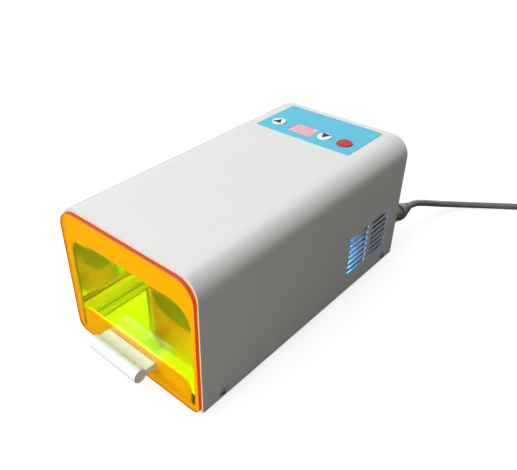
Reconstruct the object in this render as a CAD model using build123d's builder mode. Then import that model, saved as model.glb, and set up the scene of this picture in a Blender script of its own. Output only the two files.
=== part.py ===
"""A dental lab light curing unit with a pull-out drawer, as separate pieces.

Millimetres. X runs to the right as seen from the front, Y to the rear, Z up. The origin is on
the table, under the middle of the unit's length, which its mains lead doesn't count in.
"""

import math
import os

from build123d import *

# The unit as a whole
WIDTH = 150.0  # across the casing
DEPTH = 277.0  # of the casing, front edge to rear edge
HEIGHT = 127.0  # of the casing, without the feet
FOOT_HEIGHT = 5.0
SHOULDER = 18.5  # outer radius of the casing's top edges
SHEET = 1.2  # steel of the casing, liner and bulkhead
PAN = 1.5  # steel of the base plate and the back panel
GAP = 0.3  # between a moving piece and what it passes
WELD = 0.7  # how far the frame's and the back panel's corners stay inside the casing's

# Drawer
PLATE = 3.0  # acrylic of the filter plate and the rear shield
PLATE_GAP = 0.6  # between the shut plate and the casing's front edge
HANDLE_REACH = 25.0  # from the casing's front edge to the front of the bead
HANDLE_WIDTH = 57.0
HANDLE_X = -1.2  # the bead sits a little to the left
HANDLE_Z = 20.3  # of the tab and its screws, above the casing's lower edge
HANDLE_SCREWS = 36.0  # between the two screws
BEAD = 12.0
BEAD_RISE = 0.6  # the bead's middle above the tab's
TAB = 5.8
PLATE_HALF = 74.2
PLATE_LOW, PLATE_HIGH = -0.6, 124.2  # from the casing's lower edge
PLATE_CORNERS = (17.3, 7.9)  # radii, top and bottom
DRAWER_FRONT = (64.0, 4.0, 29.5)  # half width, and its ends above the casing's lower edge

# Front window and chamber
FRAME = 2.0
WINDOW_HALF = 68.5
WINDOW = (3.0, 100.2)  # from sill to head, above the casing's lower edge
WINDOW_CORNERS = (20.0, 3.0)
CHAMBER_DEPTH = 79.0  # casing's front edge to the bulkhead
LINER_HALF = 69.5
LINER_TOP = 121.0  # above the casing's lower edge
LINER_CORNER = 18.0
LINER_LEG = 33.0  # where the arch's legs end
LEG_FOOT = 12.0  # square feet of the bulkhead's legs
TRAY_FLOOR = 14.0  # underside of the tray, above the casing's lower edge
TRAY_WALL = 28.5
TRAY_HALF = 67.9
TRAY_DEPTH = 71.0  # casing's front edge to the rear shield
TRAY_METAL = 1.0
TRAY_BEAD = (20.9, 1.4, 2.2)  # stiffening bead along each side wall: height, depth, width
TRAY_FLANGE = 11.0  # turned up at the rear
ARCH = (60.0, 49.5, 28.0)  # of the drawer's back: half width, top, corner
SHIELD_HALF = 68.4
SHIELD_TOP = 98.0
SHIELD_SCREW_X = (-46.0, -20.0, 20.0, 46.0)
SHIELD_SCREW_Z = 19.5

# Lamps
LAMPS = 4
LAMP_PITCH = 30.5
LAMP_Z = 112.0  # above the casing's lower edge
TUBE = 12.5
TUBE_SPACING = 15.5
BASE_WIDTH = 28.5
BASE_HEIGHT = 14.0
BASE_DEPTH = 15.0
BOSS_WIDTH = 13.0
BOSS_HEIGHT = 11.0
BOSS_DEPTH = 20.0
PIN_X = 11.5  # lamp pins, either side of the boss
PIN = 1.1
SOCKET_WIDTH = 30.0
SOCKET_DEPTH = 23.0
SHELF_DEPTH = 36.0

# Top panel
LABEL = 0.5
LABEL_X = (-52.5, 50.5)
LABEL_Y = (211.0, 269.5)  # from the casing's front edge
PANEL_ROW = 228.5  # the line of the buttons and the display
DISPLAY_X = -9.5
DISPLAY_SIZE = (25.0, 18.5)
BUTTONS = {"up_button": (-38.4, 13.5), "down_button": (14.2, 13.5), "start_button": (35.8, 14.5)}
BUTTON_RISE = 1.2
BUTTON_TRAVEL = 0.8
KEY_HEIGHT = 3.2  # of the switches under the buttons

# Vents, on both sides
VENT_COLUMNS = ((191.5, 222.0), (228.0, 257.5))  # from the casing's front edge
VENT_ROWS = 7
VENT_FIRST = 22.5
VENT_PITCH = 6.0
VENT_HEIGHT = 3.8

# Fasteners
M3 = {"head": 5.6, "rise": 2.0, "shank": 3.0}
M4 = {"head": 7.0, "rise": 2.4, "shank": 4.0}
TAPPED = 0.05  # a tapped hole's radius over the screw's
CLEAR = 0.2  # a clear hole's
SIDE_SCREWS = ((21.0, 6.3), (257.5, 7.0))  # from the front edge, above the lower edge
FOOT_X = 64.0
FOOT_RADIUS = 8.0
FOOT_CUP = (4.2, 3.2)  # radius and depth of the well for its screw's head
PANEL_SCREW_X = 45.0
PANEL_FOOT = 14.0  # depth of the back panel's foot
LEG_X = 65.5  # screws of the bulkhead's legs
LEG_Y = 6.0  # behind the bulkhead

# Rear fittings, recessed into the casing
RECESS = 6.0
FAN_X, FAN_Z = -35.0, 80.0
FAN = 40.0
FAN_DEPTH = 10.0
FAN_BORE = 37.6
FAN_HOLES = 32.0
SWITCH_X, SWITCH_Z = 36.0, 84.0
SWITCH_FACE = (15.0, 21.0)
SWITCH_HOLE = (12.9, 19.2)
ROCKER_TILT = 8.0
ROCKER_PIN = 1.0
FUSE_X, FUSE_Z = 36.0, 54.0
FUSE_HOLE = 6.3
GLAND_X, GLAND_Z = 64.0, 35.6
GLAND_HOLE = 6.4
GLAND_NUT = 8.8  # half across its flats

# Mains lead
CORD = 7.0
RELIEF_DROP = 9.0  # degrees that the relief hangs down
RELIEF_LENGTH = 53.0
FIRST_RUN = 12.0  # straight out of the relief
LAST_RUN = 25.0
LAST_HEADING = 35.5  # degrees from +X
COIL_TURNS = 6  # in two layers
COIL_PITCH = 7.5
COIL_OUTER = 52.8  # radius of the outermost turn's centre line
COIL_TAIL = 30.0  # straight lead between the coil and the plug
PLUG_THICK = CORD + 2 * COIL_PITCH
PLUG_NECK = 24.0
PLUG_RADIUS = 19.0

# Heights and lengths that follow from them
FRONT = HANDLE_REACH - (DEPTH + HANDLE_REACH) / 2
BACK = FRONT + DEPTH
LOW = FOOT_HEIGHT
TOP = LOW + HEIGHT
INNER_HALF = WIDTH / 2 - SHEET
INNER_TOP = TOP - SHEET
FLOOR = LOW + PAN
PLATE_BACK = FRONT - PLATE_GAP
PLATE_FRONT = PLATE_BACK - PLATE
BULKHEAD = FRONT + CHAMBER_DEPTH
SHELF = LOW + LAMP_Z - 12.0
PANEL_OUT = BACK - RECESS
PANEL_IN = PANEL_OUT - PAN
BOARD_TOP = TOP - 7.7
ROW_Y = FRONT + PANEL_ROW
STANDING = (Align.CENTER, Align.CENTER, Align.MIN)


def at_y(y):
    """An upright plane across the unit: X to the right, Z up, its normal to the front."""
    return Plane.XZ.offset(-y)


def save(builder, name):
    """Labels a finished piece and writes it."""
    builder.part.label = name
    export_step(builder.part, f"parts/{name}.step")


def outline(half_width, low, high, top_radius, bottom_radius):
    """An upright outline with rounded corners, X across and Z up."""
    corners = ((-half_width, low), (half_width, low), (half_width, high), (-half_width, high))
    radii = (bottom_radius, bottom_radius, top_radius, top_radius)
    with BuildSketch(Plane.XY) as shape:
        with BuildLine():
            FilletPolyline(*corners, radius=radii, close=True)
        make_face()
    return shape.sketch


def screw(size, length):
    """A cross-head screw: the underside of its head at the origin, its shank down -Z."""
    head, rise, shank = size["head"] / 2, size["rise"], size["shank"] / 2
    with BuildPart() as made:
        with BuildSketch(Plane.XZ):
            with BuildLine():
                Polyline((0, rise), (0, -length), (shank, -length), (shank, 0), (head, 0))
                Line((head, 0), (head, rise / 2))
                ThreePointArc((head, rise / 2), (head * 0.78, rise * 0.86), (head * 0.4, rise))
                Line((head * 0.4, rise), (0, rise))
            make_face()
        revolve(axis=Axis.Z)
        with BuildSketch(Plane.XY.offset(rise / 3)):
            Rectangle(head * 1.1, head * 0.24)
            Rectangle(head * 0.24, head * 1.1)
        extrude(amount=rise, mode=Mode.SUBTRACT)
    return made.part


def screws(name, size, length, places):
    """One node of equal screws. A place is the point under the head and the head's direction."""
    one = screw(size, length)
    with BuildPart() as group:
        for point, direction in places:
            with Locations(Plane(origin=point, z_dir=direction).location):
                add(one)
    save(group, name)


def casing():
    with BuildPart() as cover:
        with BuildSketch(at_y(FRONT)):
            add(outline(WIDTH / 2, LOW, TOP, SHOULDER, 0))
            add(outline(INNER_HALF, LOW - 1, INNER_TOP, SHOULDER - SHEET, 0), mode=Mode.SUBTRACT)
        extrude(amount=-DEPTH)
        with BuildSketch(Plane.YZ):
            for start, end in VENT_COLUMNS:
                middle = FRONT + (start + end) / 2
                for row in range(VENT_ROWS):
                    with Locations((middle, LOW + VENT_FIRST + row * VENT_PITCH)):
                        SlotOverall(end - start, VENT_HEIGHT)
            for y, z in SIDE_SCREWS:
                with Locations((FRONT + y, LOW + z)):
                    Circle(M3["shank"] / 2 + CLEAR)
        extrude(amount=WIDTH, both=True, mode=Mode.SUBTRACT)
        with BuildSketch(Plane.XY.offset(INNER_TOP - 1)):
            panel_holes()
        extrude(amount=SHEET + 2, mode=Mode.SUBTRACT)
    save(cover, "casing")


def panel_holes():
    """Adds the holes of the display and the buttons to the sketch that is being drawn."""
    with Locations((DISPLAY_X, ROW_Y)):
        Rectangle(DISPLAY_SIZE[0] + 0.2, DISPLAY_SIZE[1] + 0.2)
    for x, diameter in BUTTONS.values():
        with Locations((x, ROW_Y)):
            Circle(diameter / 2 + GAP)


def label_panel():
    with BuildPart() as label:
        with BuildSketch(Plane.XY.offset(TOP)):
            with Locations((sum(LABEL_X) / 2, FRONT + sum(LABEL_Y) / 2)):
                RectangleRounded(LABEL_X[1] - LABEL_X[0], LABEL_Y[1] - LABEL_Y[0], 1.5)
        extrude(amount=LABEL)
        with BuildSketch(Plane.XY.offset(TOP - 1)):
            panel_holes()
        extrude(amount=LABEL + 2, mode=Mode.SUBTRACT)
    save(label, "label_panel")


def front_frame():
    with BuildPart() as ring:
        with BuildSketch(at_y(FRONT)):
            add(outline(INNER_HALF, LOW, INNER_TOP, SHOULDER - SHEET + WELD, 0))
            add(outline(WINDOW_HALF, *[LOW + z for z in WINDOW], *WINDOW_CORNERS), mode=Mode.SUBTRACT)
        extrude(amount=-FRAME)
    save(ring, "front_frame")


def base_plate():
    start, length = FRONT + FRAME, PANEL_OUT - FRONT - FRAME
    flange, flange_height = length - PAN, 12.5
    with BuildPart() as pan:
        with BuildSketch(Plane.XY.offset(LOW)):
            with Locations((0, start + length / 2)):
                Rectangle(2 * INNER_HALF, length)
            with Locations(*foot_places(), *floor_screw_places()):
                Circle(M4["shank"] / 2 + TAPPED, mode=Mode.SUBTRACT)
        extrude(amount=PAN)
        with BuildSketch(Plane.XY.offset(FLOOR)):
            with Locations(*[(side * (INNER_HALF - PAN / 2), start + flange / 2) for side in (-1, 1)]):
                Rectangle(PAN, flange)
        extrude(amount=flange_height)
        with BuildSketch(Plane.YZ):
            for y, z in SIDE_SCREWS:
                with Locations((FRONT + y, LOW + z)):
                    Circle(M3["shank"] / 2 + TAPPED)
        extrude(amount=WIDTH, both=True, mode=Mode.SUBTRACT)
    save(pan, "base_plate")


def back_panel():
    slots = [5.0 * row for row in range(-3, 4)]
    slot_height = 3.0
    reach = FAN_BORE / 2 - 0.5
    with BuildPart() as wall:
        with BuildSketch(at_y(PANEL_IN)):
            add(outline(INNER_HALF, FLOOR, INNER_TOP, SHOULDER - SHEET + WELD, 0))
            for rise in slots:
                with Locations((FAN_X, LOW + FAN_Z + rise)):
                    SlotOverall(2 * math.sqrt(reach**2 - rise**2), slot_height, mode=Mode.SUBTRACT)
            with Locations((FAN_X, LOW + FAN_Z)):
                with GridLocations(FAN_HOLES, FAN_HOLES, 2, 2):
                    Circle(M3["shank"] / 2 + CLEAR, mode=Mode.SUBTRACT)
            with Locations((SWITCH_X, LOW + SWITCH_Z)):
                Rectangle(*SWITCH_HOLE, mode=Mode.SUBTRACT)
            with Locations((FUSE_X, LOW + FUSE_Z)):
                Circle(FUSE_HOLE, mode=Mode.SUBTRACT)
            with Locations((GLAND_X, LOW + GLAND_Z)):
                Circle(GLAND_HOLE, mode=Mode.SUBTRACT)
        extrude(amount=-PAN)
        with BuildSketch(Plane.XY.offset(FLOOR)):
            with Locations((0, PANEL_IN - PANEL_FOOT / 2)):
                Rectangle(2 * INNER_HALF - 8, PANEL_FOOT)
            with Locations(*panel_screw_places()):
                Circle(M3["shank"] / 2 + TAPPED, mode=Mode.SUBTRACT)
        extrude(amount=PAN)
    save(wall, "back_panel")


def foot_places():
    return [(x, y) for y in (FRONT + 26, BACK - 28) for x in (-FOOT_X, FOOT_X)]


def feet():
    names = ("foot_front_left", "foot_front_right", "foot_rear_left", "foot_rear_right")
    for name, (x, y) in zip(names, foot_places()):
        with BuildPart() as foot:
            with Locations((x, y, 0)):
                Cone(FOOT_RADIUS - 1, FOOT_RADIUS, FOOT_HEIGHT, align=STANDING)
            with Locations((x, y, 0)):
                Cylinder(*FOOT_CUP, align=STANDING, mode=Mode.SUBTRACT)
                Cylinder(M4["shank"] / 2 + TAPPED, FOOT_HEIGHT, align=STANDING, mode=Mode.SUBTRACT)
        save(foot, name)


def panel_screw_places():
    return [(side * PANEL_SCREW_X, PANEL_IN - PANEL_FOOT / 2) for side in (-1, 1)]


def floor_screw_places():
    """Screws through the floor: two for the back panel, two for the bulkhead's legs."""
    return panel_screw_places() + [(side * LEG_X, BULKHEAD + SHEET + LEG_Y) for side in (-1, 1)]


def fasteners():
    sides = [
        ((side * WIDTH / 2, FRONT + y, LOW + z), (side, 0, 0))
        for side in (-1, 1)
        for y, z in SIDE_SCREWS
    ]
    screws("casing_screws", M3, 6, sides)
    screws("foot_screws", M4, 7, [((x, y, FOOT_CUP[1]), (0, 0, -1)) for x, y in foot_places()])
    screws("floor_screws", M3, 6, [((x, y, LOW), (0, 0, -1)) for x, y in floor_screw_places()])


def chamber_liner():
    start = FRONT + FRAME + 1.5
    with BuildPart() as arch:
        with BuildSketch(at_y(start)):
            top = LOW + LINER_TOP
            add(outline(LINER_HALF + SHEET, LOW + LINER_LEG, top + SHEET, LINER_CORNER + SHEET, 0))
            add(outline(LINER_HALF, LOW, top, LINER_CORNER, 0), mode=Mode.SUBTRACT)
        extrude(amount=start - BULKHEAD)
    save(arch, "chamber_liner")


def lamp_x():
    return [(number - (LAMPS - 1) / 2) * LAMP_PITCH for number in range(LAMPS)]


def chamber_back():
    overlap, doorway = 2.0, 16.0
    half = LINER_HALF + overlap
    with BuildPart() as bulkhead:
        with BuildSketch(at_y(BULKHEAD)):
            add(outline(half, FLOOR, LOW + LINER_TOP + overlap, LINER_CORNER + overlap, 0))
            with Locations((0, (FLOOR + LOW + doorway) / 2)):
                Rectangle(2 * (half - LEG_FOOT), LOW + doorway - FLOOR, mode=Mode.SUBTRACT)
            with Locations(*[(x, LOW + LAMP_Z) for x in lamp_x()]):
                Rectangle(BASE_WIDTH + 1, BASE_HEIGHT + 1, mode=Mode.SUBTRACT)
        extrude(amount=-SHEET)
        with BuildSketch(Plane.XY.offset(FLOOR)):
            with Locations(*[(side * LEG_X, BULKHEAD + SHEET + LEG_Y) for side in (-1, 1)]):
                Rectangle(LEG_FOOT, LEG_FOOT)
                Circle(M3["shank"] / 2 + TAPPED, mode=Mode.SUBTRACT)
        extrude(amount=SHEET)
        with BuildSketch(Plane.XY.offset(SHELF - SHEET)):
            with Locations((0, BULKHEAD + SHEET + SHELF_DEPTH / 2)):
                Rectangle(2 * half - 6, SHELF_DEPTH)
        extrude(amount=SHEET)
    save(bulkhead, "chamber_back")


def at_lamps(y, shape):
    """The shape that a function draws, at each lamp, upright at y."""
    with BuildSketch(at_y(y)) as drawn:
        with Locations(*[(x, LOW + LAMP_Z) for x in lamp_x()]):
            shape()
    return drawn.sketch


def twin_circles(spacing, radius):
    with GridLocations(spacing, 1, 2, 1):
        Circle(radius)


def lamps():
    """Twin-tube lamps: glass in the chamber, bases through the bulkhead."""
    cement, wall, front_gap, bridge = 2.0, 1.0, 8.0, 3.5
    base_y = BULKHEAD - cement
    glass = CHAMBER_DEPTH - cement - front_gap
    tip = glass - 8 * wall  # where the bore ends
    for number, x in enumerate(lamp_x(), start=1):
        with BuildPart() as tube:
            with BuildSketch(at_y(base_y)):
                with Locations((x, LOW + LAMP_Z)):
                    twin_circles(TUBE_SPACING, TUBE / 2)
            extrude(amount=glass)
            fillet(tube.faces().sort_by(Axis.Y)[:2].edges(), TUBE / 2 - wall)
            with BuildSketch(at_y(base_y)):
                with Locations((x, LOW + LAMP_Z)):
                    twin_circles(TUBE_SPACING, TUBE / 2 - wall)
            extrude(amount=tip, mode=Mode.SUBTRACT)
            with Locations((x, base_y - glass + 9, LOW + LAMP_Z)):
                Cylinder(bridge, TUBE_SPACING - TUBE + 2 * wall, rotation=(0, 90, 0))
        save(tube, f"lamp_tube_{number}")
    socket_y = base_y + BASE_DEPTH
    pin_length, slack = 7.0, 0.4
    with BuildPart() as bases:
        extrude(at_lamps(base_y, lambda: RectangleRounded(BASE_WIDTH, BASE_HEIGHT, 3)), amount=-BASE_DEPTH)
        boss = at_lamps(socket_y, lambda: RectangleRounded(BOSS_WIDTH, BOSS_HEIGHT, 1.5))
        extrude(boss, amount=-BOSS_DEPTH)
        extrude(at_lamps(socket_y, lambda: twin_circles(2 * PIN_X, PIN)), amount=-pin_length)
    save(bases, "lamp_bases")
    with BuildPart() as sockets:
        height = LOW + LAMP_Z + 10 - SHELF
        with BuildSketch(at_y(socket_y)):
            with Locations(*[(x, SHELF + height / 2) for x in lamp_x()]):
                RectangleRounded(SOCKET_WIDTH, height, 1.5)
        extrude(amount=-SOCKET_DEPTH)
        hollow = at_lamps(socket_y, lambda: RectangleRounded(BOSS_WIDTH + slack, BOSS_HEIGHT + slack, 1.5))
        extrude(hollow, amount=-BOSS_DEPTH - slack, mode=Mode.SUBTRACT)
        holes = at_lamps(socket_y, lambda: twin_circles(2 * PIN_X, PIN + slack / 2))
        extrude(holes, amount=-pin_length - slack, mode=Mode.SUBTRACT)
    save(sockets, "lamp_holders")


def ballasts():
    """A laminated core between two end turns, on a strap with slotted ears."""
    length, width, height = 66.0, 40.0, 28.0
    strap, ear, turns = 1.5, 18.0, 10.0
    y = 60.0
    for name, x in (("ballast_left", -40), ("ballast_right", 40)):
        with BuildPart() as ballast:
            with Locations((x, y, FLOOR + strap + height / 2)):
                Box(width, length, height)
                with GridLocations(1, length + turns, 1, 2):
                    Box(width - 12, turns, height - 8)
            fillet(ballast.edges().filter_by(Axis.Y), 1.5)
            with BuildSketch(Plane.XY.offset(FLOOR)):
                with Locations((x, y)):
                    Rectangle(width - 10, length + 2 * ear)
                    with GridLocations(1, length + 1.5 * ear, 1, 2):
                        SlotOverall(8, 4.2, rotation=90, mode=Mode.SUBTRACT)
            extrude(amount=strap)
        save(ballast, name)


def control_transformer():
    length, width, height = 36.0, 30.0, 25.0
    base = 2.5
    y = 40.0
    with BuildPart() as core:
        with Locations((0, y, FLOOR + base + height / 2)):
            Box(width, length, height)
            Box(width - 14, length - 12, height + 5)
        with BuildSketch(Plane.XY.offset(FLOOR)):
            with Locations((0, y)):
                Rectangle(width - 2, length + 12)
                with GridLocations(1, length + 6, 1, 2):
                    Circle(M3["shank"] / 2 + TAPPED, mode=Mode.SUBTRACT)
        extrude(amount=base)
    save(core, "control_transformer")


def terminal_block():
    """Three mains terminals in a row."""
    pitch, tower, base = 11.0, 17.0, 9.0
    y = 105.0
    with BuildPart() as block:
        with Locations((0, y, FLOOR)):
            Box(34, 20, base, align=STANDING)
            with GridLocations(pitch, 1, 3, 1):
                Box(8.5, 11, tower, align=STANDING)
        for way in (-pitch, 0, pitch):
            with Locations((way, y, FLOOR + tower)):
                Cylinder(1.9, 4, mode=Mode.SUBTRACT)
            with Locations((way, y, FLOOR + 6)):
                Cylinder(1.7, 20, rotation=(90, 0, 0), mode=Mode.SUBTRACT)
    save(block, "terminal_block")


def timer():
    """The board under the panel, on spacers under the casing, with its display and switches."""
    width, depth, thick = 96.0, 52.0, 1.6
    nut, spacer, stud, key = 2.4, 2.75, 1.5, 12.0
    middle = ROW_Y + 10
    corners = GridLocations(width - 8, depth - 8, 2, 2).local_locations
    spacers = [(place.position.X, middle + place.position.Y) for place in corners]
    with BuildPart() as board:
        with BuildSketch(Plane.XY.offset(BOARD_TOP - thick)):
            with Locations((0, middle)):
                RectangleRounded(width, depth, 2)
            with Locations(*spacers):
                Circle(stud + 0.1, mode=Mode.SUBTRACT)
        extrude(amount=thick)
        with Locations((-30, middle + 16, BOARD_TOP - thick), (10, middle + 14, BOARD_TOP - thick)):
            Box(18, 7, 4, align=(Align.CENTER, Align.CENTER, Align.MAX))
        with Locations((30, middle + 14, BOARD_TOP - thick)):
            Box(19, 15.5, 15, align=(Align.CENTER, Align.CENTER, Align.MAX))
    save(board, "control_board")
    with BuildPart() as posts:
        with BuildSketch(Plane.XY.offset(BOARD_TOP)):
            with Locations(*spacers):
                RegularPolygon(spacer, 6, major_radius=False)
        extrude(amount=INNER_TOP - BOARD_TOP)
        with BuildSketch(Plane.XY.offset(BOARD_TOP)):
            with Locations(*spacers):
                Circle(stud)
        extrude(amount=-thick - nut)
        with BuildSketch(Plane.XY.offset(BOARD_TOP - thick - nut)):
            with Locations(*spacers):
                RegularPolygon(spacer, 6, major_radius=False)
        extrude(amount=nut)
    save(posts, "board_standoffs")
    with BuildPart() as digits:
        with Locations((DISPLAY_X, ROW_Y, BOARD_TOP)):
            Box(*DISPLAY_SIZE, TOP + 0.3 - BOARD_TOP, align=STANDING)
        fillet(digits.faces().sort_by(Axis.Z)[-1].edges(), 0.4)
    save(digits, "display")
    with BuildPart() as keys:
        with Locations(*[(x, ROW_Y, BOARD_TOP) for x, _ in BUTTONS.values()]):
            Box(key, key, KEY_HEIGHT, align=STANDING)
    save(keys, "tact_switches")


def buttons():
    """Round caps held by a flange under the casing's top."""
    foot = BOARD_TOP + KEY_HEIGHT + BUTTON_TRAVEL + 0.1
    flange = 1.5
    for name, (x, diameter) in BUTTONS.items():
        with BuildPart() as cap:
            with BuildSketch(Plane.XY.offset(foot)):
                with Locations((x, ROW_Y)):
                    Circle(diameter / 2)
            extrude(amount=TOP + LABEL + BUTTON_RISE - foot)
            fillet(cap.faces().sort_by(Axis.Z)[-1].edges(), 0.8)
            with BuildSketch(Plane.XY.offset(foot)):
                with Locations((x, ROW_Y)):
                    Circle(diameter / 2 + flange)
            extrude(amount=INNER_TOP - GAP - foot)
        save(cap, name)


def fan():
    hub, blade, blades, pitch_angle = 8.2, 10.4, 7, 42.0
    spoke, bearing = 1.6, 8.5
    y = PANEL_IN - FAN_DEPTH
    centre = (FAN_X, LOW + FAN_Z)
    with BuildPart() as frame:
        with BuildSketch(at_y(y)):
            with Locations(centre):
                RectangleRounded(FAN, FAN, 3)
                Circle(FAN_BORE / 2, mode=Mode.SUBTRACT)
                with GridLocations(FAN_HOLES, FAN_HOLES, 2, 2):
                    Circle(M3["shank"] / 2 + CLEAR, mode=Mode.SUBTRACT)
        extrude(amount=-FAN_DEPTH)
        with BuildSketch(at_y(y)):
            with Locations(centre):
                Circle(bearing)
                with PolarLocations(13.2, 3):
                    Rectangle(12, 2.4)
        extrude(amount=-spoke)
    save(frame, "fan_frame")
    rotor_plane = Plane(origin=(FAN_X, y + spoke + 0.6, LOW + FAN_Z), x_dir=(1, 0, 0), z_dir=(0, 1, 0))
    with BuildPart(rotor_plane) as rotor:
        Cylinder(hub, 7.4, align=STANDING)
        with PolarLocations(hub + 0.42 * blade, blades):
            with Locations((0, 0, 3.7)):
                Box(blade, 0.9, 8.0, rotation=(pitch_angle, 0, 0))
        Cylinder(FAN_BORE / 2 - 1.2, 7.0, align=STANDING, mode=Mode.INTERSECT)
    save(rotor, "fan_rotor")
    corners = [
        (FAN_X + right * FAN_HOLES / 2, PANEL_OUT, LOW + FAN_Z + up * FAN_HOLES / 2)
        for right in (-1, 1)
        for up in (-1, 1)
    ]
    screws("fan_screws", M3, PAN + FAN_DEPTH + 3, [(corner, (0, 1, 0)) for corner in corners])


def rocker_pivot():
    return (SWITCH_X, PANEL_OUT - 1.2, LOW + SWITCH_Z)


def mains_switch():
    """A rocker switch, on, its rocker tipped about pins that run across the unit."""
    centre = (SWITCH_X, LOW + SWITCH_Z)
    bezel, depth, well = 1.8, 17.0, 9.0
    blade = (4.8, 7.0, 0.8)
    half_rocker, rocker_side = 7.4, 4.9
    with BuildPart() as body:
        with BuildSketch(at_y(PANEL_OUT)):
            with Locations(centre):
                RectangleRounded(*SWITCH_FACE, 1.2)
        extrude(amount=-bezel)
        with BuildSketch(at_y(PANEL_OUT)):
            with Locations(centre):
                Rectangle(SWITCH_HOLE[0] - 0.2, SWITCH_HOLE[1] - 0.2)
        extrude(amount=depth)
        with BuildSketch(at_y(PANEL_OUT + bezel)):
            with Locations(centre):
                Rectangle(2 * rocker_side + 0.6, 2 * half_rocker + 2)
        extrude(amount=well, mode=Mode.SUBTRACT)
        with Locations(rocker_pivot()):
            Cylinder(ROCKER_PIN + TAPPED, 11.7, rotation=(0, 90, 0), mode=Mode.SUBTRACT)
        blade_y = PANEL_OUT - depth - blade[1] / 2
        with Locations(*[(SWITCH_X, blade_y, LOW + SWITCH_Z + rise) for rise in (-5, 5)]):
            Box(*blade)
    save(body, "switch_body")
    tilt = math.radians(ROCKER_TILT)
    on_plane = Plane(origin=rocker_pivot(), x_dir=(0, math.cos(tilt), math.sin(tilt)), z_dir=(1, 0, 0))
    with BuildPart() as rocker:
        with BuildSketch(on_plane):
            with BuildLine():
                Polyline((4.6, half_rocker), (3.2, -0.2), (4.6, -half_rocker))
                Polyline((4.6, -half_rocker), (-1.4, -half_rocker), (-3.4, 0), (-1.4, half_rocker))
                Line((-1.4, half_rocker), (4.6, half_rocker))
            make_face()
        extrude(amount=rocker_side, both=True)
        fillet(rocker.edges().filter_by(Axis.X).group_by(Axis.Y)[-1], 0.5)
        with Locations(rocker_pivot()):
            Cylinder(ROCKER_PIN, 11.4, rotation=(0, 90, 0))
    save(rocker, "switch_rocker")


def fuse():
    centre = (FUSE_X, LOW + FUSE_Z)
    flange, body, bore, cap_rise = 1.6, 6.1, 4.2, 3.8
    with BuildPart() as holder:
        with BuildSketch(at_y(PANEL_OUT)):
            with Locations(centre):
                Circle(body + 1.4)
        extrude(amount=-flange)
        with BuildSketch(at_y(PANEL_OUT)):
            with Locations(centre):
                Circle(body)
        extrude(amount=32)
        with BuildSketch(at_y(PANEL_IN)):
            with Locations(centre):
                RegularPolygon(8.5, 6, major_radius=False)
        extrude(amount=3)
        with BuildSketch(at_y(PANEL_OUT + flange)):
            with Locations(centre):
                Circle(bore)
        extrude(amount=22, mode=Mode.SUBTRACT)
    save(holder, "fuse_holder")
    with BuildPart() as cap:
        with BuildSketch(at_y(PANEL_OUT + flange)):
            with Locations(centre):
                Circle(body + 0.1)
        extrude(amount=-cap_rise)
        fillet(cap.faces().sort_by(Axis.Y)[-1].edges(), 0.6)
        with BuildSketch(at_y(PANEL_OUT + flange + cap_rise)):
            with Locations(centre):
                Rectangle(8.5, 1.4)
        extrude(amount=1.2, mode=Mode.SUBTRACT)
        with BuildSketch(at_y(PANEL_OUT + flange)):
            with Locations(centre):
                Circle(bore - 0.2)
        extrude(amount=12)
    save(cap, "fuse_cap")


def rails():
    """Lipped channels on the floor, and the runners that slide in them."""
    start, rail_length, runner_length = FRONT + 4, 126.0, 121.0
    rail_x, rail_width, rail_height, lip_gap = 52.0, 13.0, 8.0, 7.4
    runner_width, runner_height = 9.2, 4.8
    lip = PAN + 5.5  # underside of the lips, above the floor
    glide = FLOOR + PAN + GAP  # underside of the runners
    under_tray = LOW + TRAY_FLOOR
    for word, side in (("left", -1), ("right", 1)):
        x = side * rail_x
        with BuildPart() as rail:
            with BuildSketch(at_y(start)):
                with Locations((x, FLOOR + rail_height / 2)):
                    Rectangle(rail_width, rail_height)
                with Locations((x, FLOOR + (PAN + lip) / 2)):
                    Rectangle(rail_width - 2 * PAN, lip - PAN, mode=Mode.SUBTRACT)
                with Locations((x, FLOOR + (lip + rail_height) / 2)):
                    Rectangle(lip_gap, rail_height - lip + 1, mode=Mode.SUBTRACT)
            extrude(amount=-rail_length)
        save(rail, f"rail_{word}")
        with BuildPart() as runner:
            with BuildSketch(at_y(start)):
                with Locations((x, glide + runner_height / 2)):
                    Rectangle(runner_width, runner_height)
                with Locations((x, (glide + under_tray) / 2)):
                    Rectangle(lip_gap - 1, under_tray - glide)
            extrude(amount=-runner_length)
        save(runner, f"runner_{word}")


def vent_guards():
    """Upright light guards behind the front vents, on feet."""
    start, length, height = 60.0, 40.0, 66.0
    thick, foot, guard_x = 1.0, 7.0, 68.2
    for word, side in (("left", -1), ("right", 1)):
        with BuildPart() as guard:
            with Locations((side * guard_x, start + length / 2, FLOOR)):
                Box(thick, length, height, align=STANDING)
            with Locations((side * (guard_x + (thick - foot) / 2), start + length / 2, FLOOR)):
                Box(foot, length, thick, align=STANDING)
        save(guard, f"vent_guard_{word}")


def handle_screw_places():
    return [(HANDLE_X + side * HANDLE_SCREWS / 2, LOW + HANDLE_Z) for side in (-1, 1)]


def filter_plate():
    with BuildPart() as plate:
        with BuildSketch(at_y(PLATE_BACK)):
            add(outline(PLATE_HALF, LOW + PLATE_LOW, LOW + PLATE_HIGH, *PLATE_CORNERS))
            with Locations(*handle_screw_places()):
                Circle(M3["shank"] / 2 + CLEAR, mode=Mode.SUBTRACT)
        extrude(amount=PLATE)
        fillet(plate.faces().sort_by(Axis.Y)[0].edges().group_by(SortBy.LENGTH)[-1], 0.3)
    save(plate, "filter_plate")


def shield_screw_places():
    return [(x, LOW + SHIELD_SCREW_Z) for x in SHIELD_SCREW_X]


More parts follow.
